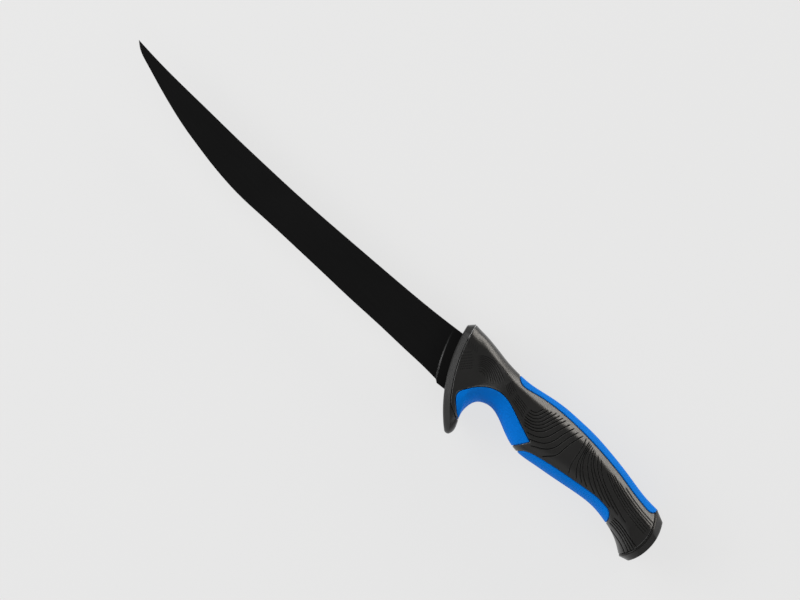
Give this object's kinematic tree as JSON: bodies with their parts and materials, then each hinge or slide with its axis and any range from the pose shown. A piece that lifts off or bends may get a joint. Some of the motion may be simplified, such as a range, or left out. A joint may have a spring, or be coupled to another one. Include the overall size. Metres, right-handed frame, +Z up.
{
  "type": "fillet knife",
  "caption": "Fillet knife with a long, narrow, slightly upswept black blade and a contoured grip with a finger groove, a prong guard and coloured soft inlays.",
  "frame": {"origin": "middle of the knife's outline, on the plane it rests on when it lies on its side", "axes": "+X from the blade's tip to the butt, +Y from the cutting edge to the spine, +Z up through the thickness of the knife"},
  "size_m": [0.37, 0.0536, 0.027],
  "materials": {
    "coated_blade": "smooth satin black non-stick coating over steel",
    "core_plastic": "hidden moulded nylon",
    "guard_plastic": "satin dark grey moulded plastic",
    "black_grip": "satin black soft plastic with fine contour grooves",
    "blue_grip": "smooth bright blue soft plastic",
    "cap_plastic": "satin black moulded plastic"
  },
  "bodies": {
    "root": {"blade": "coated_blade", "handle_core": "core_plastic", "finger_guard": "guard_plastic", "grip_sleeve": "black_grip", "choil_pad": "blue_grip", "belly_strip": "blue_grip", "spine_strip": "blue_grip", "butt_cap": "cap_plastic"}
  },
  "joints": []
}
